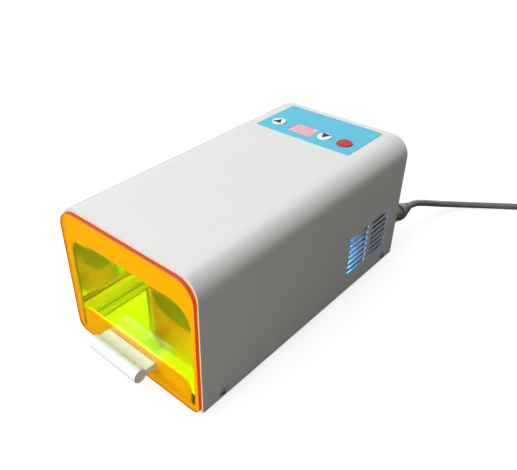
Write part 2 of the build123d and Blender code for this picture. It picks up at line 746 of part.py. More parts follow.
def drawer():
    """The drawer behind its plate: front wall, tray, arched back and rear shield."""
    wall = 2.0
    rear = FRONT + TRAY_DEPTH
    inside = PLATE_BACK + wall
    flange_y = rear - TRAY_METAL
    half, low, high = DRAWER_FRONT
    with BuildPart() as front:
        with BuildSketch(at_y(PLATE_BACK)):
            add(outline(half, LOW + low, LOW + high, 10, 1))
            with Locations(*handle_screw_places()):
                Circle(M3["shank"] / 2 + CLEAR, mode=Mode.SUBTRACT)
        extrude(amount=-wall)
    save(front, "drawer_front")
    bead_z, bead_depth, bead_width = TRAY_BEAD
    wall_x = TRAY_HALF - TRAY_METAL / 2
    bead_x = TRAY_HALF - 0.6 - bead_depth / 2  # rooted in the wall
    with BuildPart() as tray:
        with BuildSketch(at_y(inside)):
            with Locations((0, LOW + TRAY_FLOOR + TRAY_METAL / 2)):
                Rectangle(2 * TRAY_HALF, TRAY_METAL)
            for side in (-1, 1):
                with Locations((side * wall_x, LOW + (TRAY_FLOOR + TRAY_WALL) / 2)):
                    Rectangle(TRAY_METAL, TRAY_WALL - TRAY_FLOOR)
                with Locations((side * bead_x, LOW + bead_z)):
                    Rectangle(bead_depth, bead_width)
        extrude(amount=inside - flange_y)
        with BuildSketch(at_y(flange_y)):
            with Locations((0, LOW + TRAY_FLOOR + TRAY_FLANGE / 2)):
                Rectangle(2 * TRAY_HALF, TRAY_FLANGE)
            with Locations(*shield_screw_places()):
                Circle(M3["shank"] / 2 + TAPPED, mode=Mode.SUBTRACT)
        extrude(amount=TRAY_METAL)
    save(tray, "tray")
    half, high, corner = ARCH
    with BuildPart() as back:
        with BuildSketch(at_y(rear)):
            add(outline(half, LOW + TRAY_FLOOR, LOW + high, corner, 0))
            with Locations(*shield_screw_places()):
                Circle(M3["shank"] / 2 + 2 * TAPPED, mode=Mode.SUBTRACT)
        extrude(amount=TRAY_METAL)
    save(back, "drawer_back")
    with BuildPart() as shield:
        with BuildSketch(at_y(rear)):
            add(outline(SHIELD_HALF, LOW + TRAY_FLOOR + TRAY_METAL, LOW + SHIELD_TOP, LINER_CORNER, 0))
            with Locations(*shield_screw_places()):
                Circle(M3["shank"] / 2 + 2 * TAPPED, mode=Mode.SUBTRACT)
        extrude(amount=-PLATE)
    save(shield, "rear_shield")
    heads = [((x, rear + PLATE, z), (0, 1, 0)) for x, z in shield_screw_places()]
    screws("shield_screws", M3, PLATE + 2 * TRAY_METAL, heads)
    heads = [((x, inside, z), (0, 1, 0)) for x, z in handle_screw_places()]
    screws("handle_screws", M3, 13, heads)


def handle():
    """A round bead in front of a flat tab, held by two screws from behind."""
    bead_y = FRONT - HANDLE_REACH + BEAD / 2
    thread = 8.5
    with BuildPart() as bar:
        with BuildSketch(Plane.YZ.offset(HANDLE_X - HANDLE_WIDTH / 2)):
            with Locations((bead_y, LOW + HANDLE_Z + BEAD_RISE)):
                Circle(BEAD / 2)
            with Locations(((PLATE_FRONT + bead_y) / 2, LOW + HANDLE_Z)):
                Rectangle(PLATE_FRONT - bead_y, TAB)
        extrude(amount=HANDLE_WIDTH)
        with BuildSketch(at_y(PLATE_FRONT)):
            with Locations(*handle_screw_places()):
                Circle(M3["shank"] / 2 + TAPPED)
        extrude(amount=thread, mode=Mode.SUBTRACT)
    save(bar, "handle")


def catch():
    """A magnet on the bulkhead, and the steel strike that it holds."""
    strike_y = FRONT + TRAY_DEPTH + PLATE
    strike_thick, catch_z = 1.2, LOW + 23
    with BuildPart() as plate:
        with Locations((0, strike_y + strike_thick / 2, catch_z)):
            Box(24, strike_thick, 10)
    save(plate, "strike")
    with BuildPart() as magnet:
        depth = BULKHEAD - strike_y - strike_thick - GAP
        with Locations((0, BULKHEAD - depth / 2, catch_z)):
            Box(26, depth, 12)
        fillet(magnet.edges().filter_by(Axis.Y), 1)
    save(magnet, "catch_magnet")


def relief_axis():
    """Start of the relief and its direction, which droops."""
    drop = math.radians(RELIEF_DROP)
    start = Vector(GLAND_X, PANEL_OUT + 4, LOW + GLAND_Z)
    return start, Vector(0, math.cos(drop), -math.sin(drop))


def gland():
    """A gland through the back panel, with a nut on each side."""
    outer_nut, inner_nut, body = 3.4, 4.0, 12.0
    with BuildPart() as gland_body:
        with BuildSketch(at_y(PANEL_OUT)):
            with Locations((GLAND_X, LOW + GLAND_Z)):
                RegularPolygon(GLAND_NUT, 6, major_radius=False, rotation=30)
        extrude(amount=-outer_nut)
        with BuildSketch(at_y(PANEL_OUT)):
            with Locations((GLAND_X, LOW + GLAND_Z)):
                Circle(GLAND_HOLE - 0.2)
        extrude(amount=body)
        with BuildSketch(at_y(PANEL_IN)):
            with Locations((GLAND_X, LOW + GLAND_Z)):
                RegularPolygon(GLAND_NUT, 6, major_radius=False, rotation=30)
        extrude(amount=inner_nut)
    save(gland_body, "cord_gland")


def relief():
    """A moulded strain relief: a neck, a collar, and a ribbed taper down to the lead."""
    base, neck, collar, tip = 8.4, 7.4, 9.0, CORD / 2 + 0.4
    collar_start, taper_start = 26.5, 31.0
    groove, groove_width, grooves = 1.2, 2.2, (36.0, 43.0)
    start, along = relief_axis()

    def radius(height):
        return collar + (tip - collar) * (height - taper_start) / (RELIEF_LENGTH - taper_start)

    points = [(0, 0), (base, 0), (base, 12), (neck, 14), (neck, collar_start), (collar, collar_start)]
    points.append((collar, taper_start))
    for near in grooves:
        far = near + groove_width
        points += [(radius(near), near), (radius(near) - groove, near)]
        points += [(radius(far) - groove, far), (radius(far), far)]
    points += [(tip, RELIEF_LENGTH), (0, RELIEF_LENGTH)]
    section = Plane(origin=start, x_dir=(1, 0, 0), z_dir=Vector(1, 0, 0).cross(along))
    with BuildPart() as sleeve:
        with BuildSketch(section):
            with BuildLine():
                Polyline(*points, close=True)
            make_face()
        revolve(axis=Axis(start, along))
    save(sleeve, "cord_relief")


def lead_route():
    """The free lead's route: down to the table, then round to the right."""
    start, along = relief_axis()
    exit_point = start + along * RELIEF_LENGTH
    heading = math.radians(LAST_HEADING)
    last_bend = Vector(148.5, 334.5, CORD / 2)
    end = last_bend + Vector(math.cos(heading), math.sin(heading), 0) * LAST_RUN
    bends = [
        (65.8, 229.5, 24.4),
        (69.5, 247.0, 17.2),
        (75.2, 263.5, 11.0),
        (83.4, 278.6, 6.9),
        (94.4, 292.0, 4.4),
        (108.7, 304.8, 3.6),
        (127.2, 319.0, 3.5),
    ]
    route = [exit_point, exit_point + along * FIRST_RUN]
    return route + [Vector(*bend) for bend in bends] + [last_bend, end]


def bend_radii(route):
    """The largest arcs that each pair of runs leaves room for."""
    radii = []
    for before, point, after in zip(route, route[1:], route[2:]):
        turn = math.radians((point - before).get_angle(after - point))
        shorter = min((point - before).length, (after - point).length)
        radii.append(0.45 * shorter / math.tan(turn / 2))
    return radii


def lead():
    route = lead_route()
    radii = bend_radii(route)
    print("lead's bend radii", [round(radius, 1) for radius in radii])
    with BuildPart() as tube:
        with BuildLine() as line:
            FilletPolyline(*route, radius=radii)
        with BuildSketch(Plane(origin=route[0], z_dir=route[1] - route[0])):
            Circle(CORD / 2)
        sweep(path=line.wire())
    length = line.wire().length
    expected = math.pi * CORD**2 / 4 * length
    print("lead's length", round(length, 1), "volume against section", tube.part.volume / expected)
    save(tube, "cord_lead")
    return length


def coil_arcs():
    """Half turns that spiral in on the table and out again on top, each by three points."""
    route = lead_route()
    ahead = (route[-1] - route[-2]).normalized()
    right = Vector(ahead.Y, -ahead.X, 0)
    start = route[-1] + ahead * CORD
    radius, side = COIL_OUTER, -1
    arcs, here = [], start
    for half in range(2 * COIL_TURNS):
        climbing = half == COIL_TURNS
        if half:
            radius += COIL_PITCH / 2 if half > COIL_TURNS else -COIL_PITCH / 2
        middle = here - right * side * radius
        rise = COIL_PITCH if climbing else 0
        end = here - right * side * 2 * radius + Vector(0, 0, rise)
        arcs.append((here, middle - ahead * side * radius + Vector(0, 0, rise / 2), end))
        here, side = end, -side
    return start - ahead * CORD, arcs, ahead


def least_gap(line, step=2.0):
    """How near the centre line comes to itself, less the lead's own thickness."""
    count = int(line.length / step)
    points = [line.position_at(number / count) for number in range(count + 1)]
    apart = int(40 / step)
    pairs = (
        (first - second).length
        for number, first in enumerate(points)
        for second in points[number + apart :]
    )
    return min(pairs) - CORD


def coil():
    begin, arcs, leaving = coil_arcs()
    with BuildPart() as turns:
        with BuildLine() as line:
            Line(begin, arcs[0][0])
            for first, middle, last in arcs:
                ThreePointArc(first, middle, last)
            Line(arcs[-1][2], arcs[-1][2] + leaving * COIL_TAIL)
        with BuildSketch(Plane(origin=begin, z_dir=arcs[0][0] - begin)):
            Circle(CORD / 2)
        sweep(path=line.wire())
    centre_line = line.wire()
    expected = math.pi * CORD**2 / 4 * centre_line.length
    print("coil's length", round(centre_line.length, 1), "least gap", round(least_gap(centre_line), 2))
    print("coil's volume against section", turns.part.volume / expected)
    save(turns, "cord_coil")
    return centre_line.length


def plug():
    """A flat moulded plug lying on its back, its three pins up."""
    _, arcs, leaving = coil_arcs()
    tail = arcs[-1][2] + leaving * COIL_TAIL
    neck = Plane(origin=tail, z_dir=leaving)
    body_start = tail + leaving * PLUG_NECK
    face = Plane(origin=(body_start.X, body_start.Y, 0), x_dir=leaving, z_dir=(0, 0, 1))
    with BuildPart() as body:
        with BuildSketch(face):
            with Locations((PLUG_RADIUS, 0)):
                Circle(PLUG_RADIUS)
            with Locations((PLUG_RADIUS / 2, 0)):
                Rectangle(PLUG_RADIUS, 20)
        extrude(amount=PLUG_THICK)
        fillet(body.faces().sort_by(Axis.Z)[-1].edges(), 2)
        fillet(body.faces().sort_by(Axis.Z)[0].edges(), 1)
        with BuildSketch(neck):
            Circle(4.4)
        with BuildSketch(neck.offset(PLUG_NECK + 2)):
            Circle(7.6)
        loft()
    save(body, "plug_body")
    pin_face = face.offset(PLUG_THICK)
    centre = PLUG_RADIUS + 1
    with BuildPart() as pins:
        with BuildSketch(pin_face):
            with Locations((centre - 10.3, 0)):
                Rectangle(6.3, 1.6)
        extrude(amount=20)
        with BuildSketch(pin_face):
            for side in (-1, 1):
                with Locations((centre + 4, side * 6.9)):
                    Rectangle(6.3, 1.6, rotation=side * 30)
        extrude(amount=17.3)
    save(pins, "plug_pins")


def main():
    os.makedirs("parts", exist_ok=True)
    for make in (casing, label_panel, front_frame, base_plate, back_panel, feet, fasteners):
        make()
    for make in (chamber_liner, chamber_back, lamps, ballasts, control_transformer, terminal_block):
        make()
    for make in (timer, buttons, fan, mains_switch, fuse, rails, vent_guards):
        make()
    for make in (filter_plate, drawer, handle, catch, gland, relief, plug):
        make()
    print("whole lead", round(lead() + coil(), 1))


main()
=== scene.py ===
"""Looks of a dental lab light curing unit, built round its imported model. Metres, +Z up."""

import math

import bpy
from mathutils import Matrix, Vector


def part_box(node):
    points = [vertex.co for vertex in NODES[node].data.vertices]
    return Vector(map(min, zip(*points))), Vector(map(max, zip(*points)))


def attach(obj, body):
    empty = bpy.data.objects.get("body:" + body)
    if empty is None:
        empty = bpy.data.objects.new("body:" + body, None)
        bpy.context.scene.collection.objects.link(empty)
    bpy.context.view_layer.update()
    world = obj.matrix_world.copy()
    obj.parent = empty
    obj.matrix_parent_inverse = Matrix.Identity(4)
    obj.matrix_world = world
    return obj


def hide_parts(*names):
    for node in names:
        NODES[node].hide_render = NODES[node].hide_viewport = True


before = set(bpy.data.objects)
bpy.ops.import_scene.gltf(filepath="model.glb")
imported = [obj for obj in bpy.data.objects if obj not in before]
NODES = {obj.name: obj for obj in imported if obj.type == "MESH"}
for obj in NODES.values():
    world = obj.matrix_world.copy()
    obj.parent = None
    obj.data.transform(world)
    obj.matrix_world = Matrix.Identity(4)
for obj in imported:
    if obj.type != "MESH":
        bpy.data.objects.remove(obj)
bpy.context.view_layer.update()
MM = 0.001
UM = 0.000001

# The camera, from the photograph
FRAME_WIDTH = 517
FOCAL = 592.19  # in pixels of that width
SENSOR = 36.0
SHIFT = (0.0778, 0.0110)
CAMERA_PLACE = Vector((0.28609, -0.32783, 0.36841))
CAMERA_RIGHT = Vector((0.7326, 0.6804, -0.0170))
CAMERA_BACK = Vector((0.5644, -0.5934, 0.5739))

# The mains lead, as the construction has it, in millimetres
CORD = 7.0
RELIEF_START = Vector((64.0, 149.0, 40.6))
RELIEF_DROP = math.radians(9.0)
RELIEF_LENGTH = 53.0
FIRST_RUN = 12.0
LEAD_BENDS = [
    (65.8, 229.5, 24.4),
    (69.5, 247.0, 17.2),
    (75.2, 263.5, 11.0),
    (83.4, 278.6, 6.9),
    (94.4, 292.0, 4.4),
    (108.7, 304.8, 3.6),
    (127.2, 319.0, 3.5),
    (148.5, 334.5, 3.5),
]
LAST_RUN = 25.0
LAST_HEADING = math.radians(35.5)
COIL_TURNS = 6
COIL_PITCH = 7.5
COIL_OUTER = 52.8
COIL_STEPS = 8  # control points in each half turn
COIL_REACH = 0.981  # the curve's radius, as a share of its control points' radius
COIL_TAIL = 30.0
TAIL_POINTS = (0.3, 1.0)  # shares of the tail

# Marks on the panel, in millimetres
MARK_ROOT = 0.2  # sunk into the piece that carries it
ARROW_RISE, DIGITS_RISE = 0.12, 0.08
ARROWS = {"up_button": (9.0, 8.5), "down_button": (9.0, -9.0)}  # width, and height to the tip
DIGIT_WIDTH, DIGIT_HEIGHT = 6.6, 12.4  # between the middles of the bars
BAR, BAR_GAP = 1.9, 0.228
DIGIT_LEAN = math.tan(math.radians(9))
SEGMENTS = {  # ends of each bar, in digit widths and half heights
    "top": ((0, 2), (1, 2)),
    "upper_left": ((0, 1), (0, 2)),
    "upper_right": ((1, 1), (1, 2)),
    "middle": ((0, 1), (1, 1)),
    "lower_left": ((0, 0), (0, 1)),
    "lower_right": ((1, 0), (1, 1)),
    "bottom": ((0, 0), (1, 0)),
}
ZERO = [name for name in SEGMENTS if name != "middle"]
TWO = ["top", "upper_right", "middle", "lower_left", "bottom"]
DIGITS = ((-6.0, ZERO), (6.2, TWO))  # place across the display, and the lit bars

# Finishes, by their settings of surface(), glowing() and tinted_acrylic()
FINISHES = {
    "white_paint": dict(
        colour=(0.730, 0.730, 0.735), rough=0.36, rough_spread=0.03, coat=0.08, specular=0.4,
        mottle=0.012, mottle_scale=12, grain=650, depth=25),
    "frame_paint": dict(
        colour=(0.71, 0.69, 0.68), rough=0.4, rough_spread=0.03,
        mottle=0.012, mottle_scale=12, grain=650, depth=25),
    # The drawer's back plate is a dark green-grey, darker than the chamber round it.
    "dark_green_grey": dict(colour=(0.10, 0.15, 0.12), rough=0.5, grain=1200, depth=30),
    "zinc_plate": dict(
        colour=(0.55, 0.56, 0.57), rough=0.38, rough_spread=0.08, metallic=1.0,
        mottle=0.10, mottle_scale=55, grain=700, depth=20),
    "blackened_steel": dict(
        colour=(0.16, 0.16, 0.16), rough=0.55, metallic=0.7, mottle=0.2, grain=1500),
    "varnished_core": dict(
        colour=(0.10, 0.10, 0.11), rough=0.5, metallic=0.6, mottle=0.2,
        grain=60, depth=200, stretch=(1, 40, 1)),
    "nickelled_brass": dict(colour=(0.72, 0.66, 0.52), rough=0.25, metallic=1.0, mottle=0.08),
    "label_film": dict(
        colour=(0.100, 0.52, 0.715), rough=0.45, rough_spread=0.04, specular=0.25,
        mottle=0.02, mottle_scale=90, grain=2500, depth=10),
    "circuit_board": dict(
        colour=(0.02, 0.15, 0.05), rough=0.4, mottle=0.25, mottle_scale=200, grain=1200),
    "foot_rubber": dict(
        colour=(0.03, 0.03, 0.03), rough=0.75, mottle=0.15, grain=1800, depth=60),
    "white_plastic": dict(
        colour=(0.86, 0.86, 0.85), rough=0.22, coat=0.3, mottle=0.01, grain=1200, depth=8),
    # The handle's blue tint is painted: it offsets the warm light that falls on it from the
    # filter.
    "painted_cool_white_plastic": dict(
        colour=(0.785, 0.87, 0.945), rough=0.28, mottle=0.01, grain=1200, depth=8),
    # The drawer front's glow is painted light: a faint warm emission that brightens it, though
    # the part is no lamp.
    "ivory_plastic": dict(
        colour=(0.85, 0.88, 0.66), rough=0.25, coat=0.3, mottle=0.01, grain=1200, depth=8,
        painted_glow=(1.0, 0.72, 0.4), painted_glow_strength=0.16),
    "red_plastic": dict(
        colour=(0.50, 0.04, 0.035), rough=0.4, specular=0.12, grain=1200, depth=10),
    "black_plastic": dict(
        colour=(0.02, 0.02, 0.021), rough=0.45, mottle=0.1, grain=2200, depth=30),
    "grey_pvc": dict(
        colour=(0.132, 0.139, 0.135), rough=0.5, mottle=0.04, grain=1600, depth=30),
    "dark_ink": dict(
        colour=(0.03, 0.034, 0.045), rough=0.5, specular=0.1, mottle=0.1, grain=1500, depth=10),
    # The tray's green-blue tint is painted light: it stands in for the colour of the lamps' light
    # on its walls, not a tint of the metal.
    "polished_tray": dict(
        colour=(0.74, 0.91, 0.87), rough=0.10, rough_spread=0.02, metallic=1.0,
        mottle=0.02, mottle_scale=30, grain=700, depth=3, stretch=(1, 0.02, 1)),
}
LIT_FINISHES = {
    "lamp_glass": dict(colour=(0.35, 1.55, 7.0), strength=1.0),
    "display_window": dict(
        colour=(0.47, 0.21, 0.29), strength=0.80, base=(0.5, 0.14, 0.18), rough=0.15),
    "lit_bars": dict(colour=(0.28, 0.34, 0.35), strength=1.0, base=(0.3, 0.2, 0.2), scale=300),
}
# Each sheet's edge is an opaque deep colour with a painted glow: emission standing in for light
# carried along the sheet to its edges.
ACRYLICS = {
    "orange_acrylic": dict(
        colour=(0.93, 0.60, 0.0), edge=(0.06, 0.02, 0.02), painted_edge_glow=(0.56, 0.040, 0.010)),
    "shield_acrylic": dict(
        colour=(0.956, 0.675, 0.0), edge=(0.25, 0.06, 0.01), painted_edge_glow=(0.02, 0.006, 0.0)),
}
WEARERS = {  # the CAD nodes that wear each finish
    "white_paint": ["casing", "chamber_back", "back_panel"],
    "frame_paint": ["front_frame"],
    "dark_green_grey": ["drawer_back"],
    "zinc_plate": [
        "base_plate", "board_standoffs", "fan_screws", "floor_screws", "foot_screws",
        "shield_screws", "handle_screws", "strike", "rail_left", "rail_right"],
    "blackened_steel": ["casing_screws"],
    "varnished_core": ["ballast_left", "ballast_right", "control_transformer", "catch_magnet"],
    "nickelled_brass": ["plug_pins"],
    "label_film": ["label_panel"],
    "circuit_board": ["control_board"],
    "foot_rubber": ["foot_front_left", "foot_front_right", "foot_rear_left", "foot_rear_right"],
    "white_plastic": [
        "lamp_bases", "lamp_holders", "terminal_block", "vent_guard_left", "vent_guard_right",
        "up_button", "down_button", "runner_left", "runner_right"],
    "painted_cool_white_plastic": ["handle"],
    "ivory_plastic": ["drawer_front"],
    "red_plastic": ["start_button"],
    "black_plastic": [
        "tact_switches", "fan_frame", "fan_rotor", "switch_body", "switch_rocker",
        "fuse_holder", "fuse_cap"],
    "grey_pvc": ["cord_gland", "cord_relief", "plug_body"],
    "polished_tray": ["tray"],
    "polished_liner": ["chamber_liner"],
    "lamp_glass": ["lamp_tube_1", "lamp_tube_2", "lamp_tube_3", "lamp_tube_4"],
    "display_window": ["display"],
    "orange_acrylic": ["filter_plate"],
    "shield_acrylic": ["rear_shield"],
}
NOISE_MIDDLE = (0.3, 0.7)  # the range in which most of a noise's values lie
COAT_ROUGH = 0.12
UNEVEN = 0.06  # share by which a lit surface varies
TRAY_ROUGH = (0.10, 0.22)  # of its floor, and of its side walls
TRAY_METALLIC = (1.0, 0.12)
LINER_DARK, LINER_PALE = (0.87, 0.87, 0.86), (0.91, 0.91, 0.90)
LINER_MOTTLE = 30  # a noise's scale, as in surface()
LINER_ROUGH = (0.03, 0.06)
BOW_START, BOW_END, BOW = -0.110, -0.055, 0.40  # where and how far the liner's normals lean forward
ACRYLIC_IOR = 1.49
RIM_ROUGH, RIM_SPECULAR = 0.45, 0.2
FACE_ON = 0.9  # a sheet's faces look more squarely along Y than this, and its edges less

# Stage and light
FLOOR_SIZE = 8.0
FLOOR_GREY = 0.22  # what the lamps light
FLOOR_SEEN, FLOOR_GLOW = 0.3, 0.82  # what the camera sees
FLOOR_MIRRORED = 0.04
WORLD_COLOUR, WORLD_LIGHT = (1.0, 1.0, 0.82), 0.137
WHITE = (1, 1, 1)
VENT_BLUE = (0.015, 0.34, 1.0)
VENT_SIZE, VENT_WATTS = (0.003, 0.045), 0.022
LIGHTS = {  # place, target, size, watts and colour
    "key": ((-0.75, -1.45, 1.35), (0, 0, 0.06), (2.2, 2.2), 36.05, WHITE),
    "top": ((-0.25, 0.35, 1.7), (0, 0, 0.1), (1.4, 1.4), 16.48, WHITE),
    "front": ((0.15, -1.5, 0.30), (0, -0.13, 0.06), (1.0, 0.5), 9.27, WHITE),
    "chamber": ((0, -0.112, 0.085), (0, -0.047, 0.055), (0.10, 0.03), 0.18, (0.55, 0.95, 0.35)),
    "rear": ((-0.35, 1.5, 0.10), (0, 0.15, 0.07), (1.2, 0.16), 4.0, WHITE),
    "glow_left": (
        (-0.070, 0.0615, 0.045), (-0.074, 0.078, 0.046), VENT_SIZE, VENT_WATTS, VENT_BLUE),
    "glow_right": (
        (0.070, 0.0615, 0.045), (0.074, 0.078, 0.046), VENT_SIZE, VENT_WATTS, VENT_BLUE),
}


# ---------------------------------------------------------------- camera and cord


def make_camera():
    data = bpy.data.cameras.new("camera")
    data.sensor_width = SENSOR
    data.lens = SENSOR * FOCAL / FRAME_WIDTH
    data.shift_x, data.shift_y = SHIFT
    data.clip_start = 0.01
    camera = bpy.data.objects.new("camera", data)
    back = CAMERA_BACK.normalized()
    right = (CAMERA_RIGHT - back * CAMERA_RIGHT.dot(back)).normalized()
    turned = Matrix((right, back.cross(right), back)).transposed().to_4x4()
    camera.matrix_world = Matrix.Translation(CAMERA_PLACE) @ turned
    bpy.context.scene.collection.objects.link(camera)
    bpy.context.scene.camera = camera


def lead_route():
    """The route from the strain relief to the coil, and the way it heads there."""
    along = Vector((0, math.cos(RELIEF_DROP), -math.sin(RELIEF_DROP)))
    leaves = RELIEF_START + along * RELIEF_LENGTH
    route = [leaves, leaves + along * FIRST_RUN] + [Vector(bend) for bend in LEAD_BENDS]
    ahead = Vector((math.cos(LAST_HEADING), math.sin(LAST_HEADING), 0))
    return route + [route[-1] + ahead * LAST_RUN], ahead


def coil_route(start, ahead):
    """The coil's half turns: in along the table, up one layer, and out again on top."""
    right = Vector((ahead.y, -ahead.x, 0))
    points, here, radius, side = [], start + ahead * CORD, COIL_OUTER, -1
    for half in range(2 * COIL_TURNS):
        if half:
            radius += COIL_PITCH / 2 if half > COIL_TURNS else -COIL_PITCH / 2
        centre = here - right * side * radius
        rise = COIL_PITCH if half == COIL_TURNS else 0
        for step in range(COIL_STEPS):
            turn = math.pi * (step + 0.5) / COIL_STEPS
            reach = right * side * math.cos(turn) - ahead * side * math.sin(turn)
            lift = Vector((0, 0, rise * (1 - math.cos(turn)) / 2))
            points.append(centre + reach * radius / COIL_REACH + lift)
        here, side = here - right * side * 2 * radius + Vector((0, 0, rise)), -side
    return points + [here + ahead * COIL_TAIL * share for share in TAIL_POINTS]


def make_lead():
    route, ahead = lead_route()
    points = route + coil_route(route[-1], ahead)
    curve = bpy.data.curves.new("mains_lead", "CURVE")
    curve.dimensions = "3D"
    spline = curve.splines.new("NURBS")
    spline.points.add(len(points) - 1)
    for control, point in zip(spline.points, points):
        control.co = (*(point * MM), 1)
        control.radius = CORD / 2 * MM  # times the bevel's depth of 1, so the curve's box is true
    spline.order_u = 3
    spline.use_endpoint_u = True
    curve.resolution_u = 6
    curve.bevel_depth = 1.0
    curve.bevel_resolution = 5
    lead = bpy.data.objects.new("mains_lead", curve)
    bpy.context.scene.collection.objects.link(lead)
    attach(lead, "housing")
    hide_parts("cord_lead", "cord_coil")
    return lead


# ---------------------------------------------------------------- shader nodes


def new_material(name):
    made = bpy.data.materials.new(name)
    made.use_nodes = True
    tree = made.node_tree
    return made, tree, tree.nodes["Principled BSDF"], tree.nodes["Material Output"]


def set_inputs(node, values):
    for name, value in values.items():
        node.inputs[name].default_value = value


def add_node(tree, kind, values=None):
    made = tree.nodes.new("ShaderNode" + kind)
    set_inputs(made, values or {})
    return made


def maths(tree, operation, first, second=None):
    """An operation on one output, or on an output and a number or another output."""
    made = add_node(tree, "Math")
    made.operation = operation
    tree.links.new(first, made.inputs[0])
    if isinstance(second, bpy.types.NodeSocket):
        tree.links.new(second, made.inputs[1])
    elif second is not None:
        made.inputs[1].default_value = second
    return made.outputs["Value"]


def map_range(tree, value, source, target):
    ranged = add_node(tree, "MapRange", {
        "From Min": source[0], "From Max": source[1], "To Min": target[0], "To Max": target[1]})
    tree.links.new(value, ranged.inputs["Value"])
    return ranged


def spread(tree, factor, low, high):
    """Maps a noise's middle range to low..high."""
    return map_range(tree, factor, NOISE_MIDDLE, (low, high)).outputs["Result"]


def noise(tree, scale, detail=3.0, stretch=(1, 1, 1)):
    """A noise texture in the piece's own place, in metres."""
    place = add_node(tree, "TexCoord")
    mapping = add_node(tree, "Mapping", {"Scale": stretch})
    texture = add_node(tree, "TexNoise", {"Scale": scale, "Detail": detail})
    tree.links.new(place.outputs["Object"], mapping.inputs["Vector"])
    tree.links.new(mapping.outputs["Vector"], texture.inputs["Vector"])
    return texture.outputs["Fac"]


def mix_colours(tree, factor, first, second):
    mixed = add_node(tree, "Mix")
    mixed.data_type = "RGBA"
    tree.links.new(factor, mixed.inputs["Factor"])
    for socket, colour in (("A", first), ("B", second)):
        place = [i for i in mixed.inputs if i.name == socket and i.type == "RGBA"][0]
        place.default_value = (*colour, 1)
    return [o for o in mixed.outputs if o.type == "RGBA"][0]


def mix_shaders(tree, factor, first, second):
    mixed = add_node(tree, "MixShader")
    tree.links.new(factor, mixed.inputs["Fac"])
    tree.links.new(first, mixed.inputs[1])
    tree.links.new(second, mixed.inputs[2])
    return mixed.outputs["Shader"]


def facing(tree, axis):
    """How squarely a face looks along an axis, from 0 to 1."""
    normal = add_node(tree, "NewGeometry")
    split = add_node(tree, "SeparateXYZ")
    tree.links.new(normal.outputs["True Normal"], split.inputs["Vector"])
    return maths(tree, "ABSOLUTE", split.outputs[axis])


def shade(colour, factor):
    return tuple(min(1.0, channel * factor) for channel in colour)


# ---------------------------------------------------------------- materials


def surface(name, colour, rough, rough_spread=0.05, metallic=0.0, specular=0.5, coat=0.0,
            mottle=0.05, mottle_scale=40, grain=900, depth=40, stretch=(1, 1, 1),
            painted_glow=WHITE, painted_glow_strength=0.0):
    """A finish with faint mottling, uneven gloss and a fine grain.

    The colour varies by the share mottle, over patches of the noise mottle_scale, and the
    grain is the noise grain, depth micrometres deep. The glow, where one is given, is painted
    light: an emission on a part that is no lamp.
    """
    made, tree, shader, _ = new_material(name)
    set_inputs(shader, {
        "Metallic": metallic,
        "Specular IOR Level": specular,
        "Coat Weight": coat,
        "Coat Roughness": COAT_ROUGH,
        # emission here is a painted glow, not a lamp
        "Emission Color": (*painted_glow, 1),
        "Emission Strength": painted_glow_strength,
    })
    patches = spread(tree, noise(tree, mottle_scale, stretch=stretch), 0, 1)
    mottled = mix_colours(tree, patches, shade(colour, 1 - mottle), shade(colour, 1 + mottle))
    tree.links.new(mottled, shader.inputs["Base Color"])
    finer = noise(tree, mottle_scale * 3, stretch=stretch)
    gloss = spread(tree, finer, rough - rough_spread, rough + rough_spread)
    tree.links.new(gloss, shader.inputs["Roughness"])
    bump = add_node(tree, "Bump", {"Strength": 1.0, "Distance": depth * UM})
    tree.links.new(noise(tree, grain, detail=2.0, stretch=stretch), bump.inputs["Height"])
    tree.links.new(bump.outputs["Normal"], shader.inputs["Normal"])
    return made


def leave_walls_satin(made):
    """Polishes the tray's floor, but leaves its side walls satin."""
    tree = made.node_tree
    wall = facing(tree, "X")
    for socket, target in (("Roughness", TRAY_ROUGH), ("Metallic", TRAY_METALLIC)):
        ranged = map_range(tree, wall, (0, 1), target)
        tree.links.new(ranged.outputs["Result"], tree.nodes["Principled BSDF"].inputs[socket])


def bowed_mirror():
    """Polished sheet whose shading normals lean forward, more towards the back of the chamber, so
    its walls look turned in; the sheet itself stays flat.
    """
    made, tree, shader, _ = new_material("polished_liner")
    shader.inputs["Metallic"].default_value = 1.0
    patches = spread(tree, noise(tree, LINER_MOTTLE), 0, 1)
    mottled = mix_colours(tree, patches, LINER_DARK, LINER_PALE)
    tree.links.new(mottled, shader.inputs["Base Color"])
    gloss = spread(tree, noise(tree, LINER_MOTTLE * 3), *LINER_ROUGH)
    tree.links.new(gloss, shader.inputs["Roughness"])
    place = add_node(tree, "TexCoord")
    split = add_node(tree, "SeparateXYZ")
    tree.links.new(place.outputs["Object"], split.inputs["Vector"])
    turn = map_range(tree, split.outputs["Y"], (BOW_START, BOW_END), (0.0, -BOW))
    turn.interpolation_type = "SMOOTHSTEP"
    lean = add_node(tree, "CombineXYZ")
    tree.links.new(turn.outputs["Result"], lean.inputs["Y"])
    normal = add_node(tree, "NewGeometry")
    total = add_node(tree, "VectorMath")
    tree.links.new(normal.outputs["Normal"], total.inputs[0])
    tree.links.new(lean.outputs["Vector"], total.inputs[1])
    unit = add_node(tree, "VectorMath")
    unit.operation = "NORMALIZE"
    tree.links.new(total.outputs["Vector"], unit.inputs[0])
    tree.links.new(unit.outputs["Vector"], shader.inputs["Normal"])
    return made


